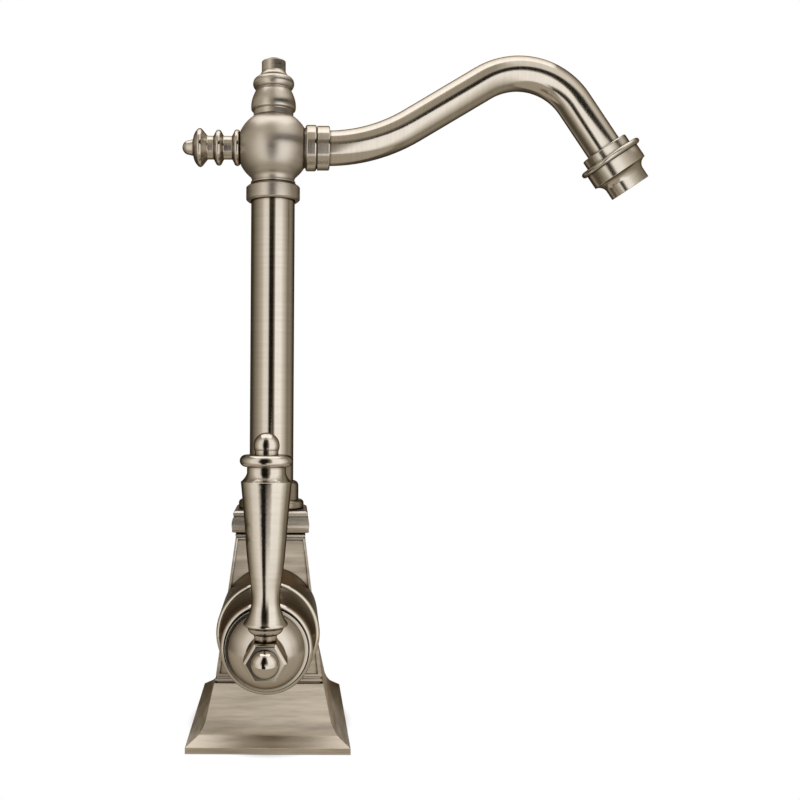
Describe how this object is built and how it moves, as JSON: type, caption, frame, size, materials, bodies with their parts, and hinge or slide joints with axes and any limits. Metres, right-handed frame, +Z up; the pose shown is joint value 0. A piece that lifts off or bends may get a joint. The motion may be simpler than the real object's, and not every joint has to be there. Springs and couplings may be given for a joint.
{
  "type": "instant hot water tap",
  "caption": "Traditional instant hot water tap: stepped rectangular foot, tapered pedestal, slim column, swivelling swan-neck spout with finials, and a turned lever on a side valve.",
  "frame": {"origin": "middle of the foot's underside, on the column's axis, where the mounting shank's thread starts", "axes": "+Z up along the column, +X along the spout at rest, -Y towards the lever valve"},
  "size_m": [0.1938, 0.1425, 0.2766],
  "materials": {
    "satin_nickel": "satin nickel plate, brushed",
    "polished_nickel": "nickel plate, smoother",
    "raw_brass": "machined",
    "stainless_steel": "drawn",
    "rubber": "matte black",
    "ceramic": "lapped ceramic",
    "insert_plastic": "moulded, dark grey"
  },
  "bodies": {
    "base": {"foot": "satin_nickel", "foot_gasket": "rubber", "threaded_bush": "raw_brass", "pedestal": "satin_nickel", "capital": "satin_nickel", "column_socket": "satin_nickel", "column_tube": "satin_nickel", "riser_tube": "stainless_steel", "swivel_collar": "satin_nickel", "valve_body": "raw_brass", "valve_drum": "satin_nickel", "bonnet": "satin_nickel", "fixed_disc": "ceramic", "cartridge_sleeve": "raw_brass"},
    "head": {"swivel_spigot": "raw_brass", "spigot_o_rings": "rubber", "retaining_clip": "stainless_steel", "head_ball": "polished_nickel", "top_finial": "satin_nickel", "side_finial": "satin_nickel", "spout_flange": "satin_nickel", "spout_seal": "rubber", "spout_nut": "satin_nickel", "spout_tube": "satin_nickel", "spout_tip": "satin_nickel", "aerator_shell": "satin_nickel", "aerator_washer": "rubber", "aerator_insert": "insert_plastic"},
    "handle": {"moving_disc": "ceramic", "valve_stem": "raw_brass", "stem_o_ring": "rubber", "handle_skirt": "satin_nickel", "lever_hub": "satin_nickel", "hub_screw": "stainless_steel", "button_cap": "polished_nickel", "lever_stud": "stainless_steel", "lever": "satin_nickel"}
  },
  "joints": [
    {"name": "head_swivel", "type": "hinge", "parent": "base", "child": "head", "pos_m": [0, 0, 0.2], "axis": [0, 0, 1], "continuous": true},
    {"name": "lever_turn", "type": "hinge", "parent": "base", "child": "handle", "pos_m": [0, -0.08, 0.0469], "axis": [0, 1, 0], "range_deg": [0, 90]}
  ]
}
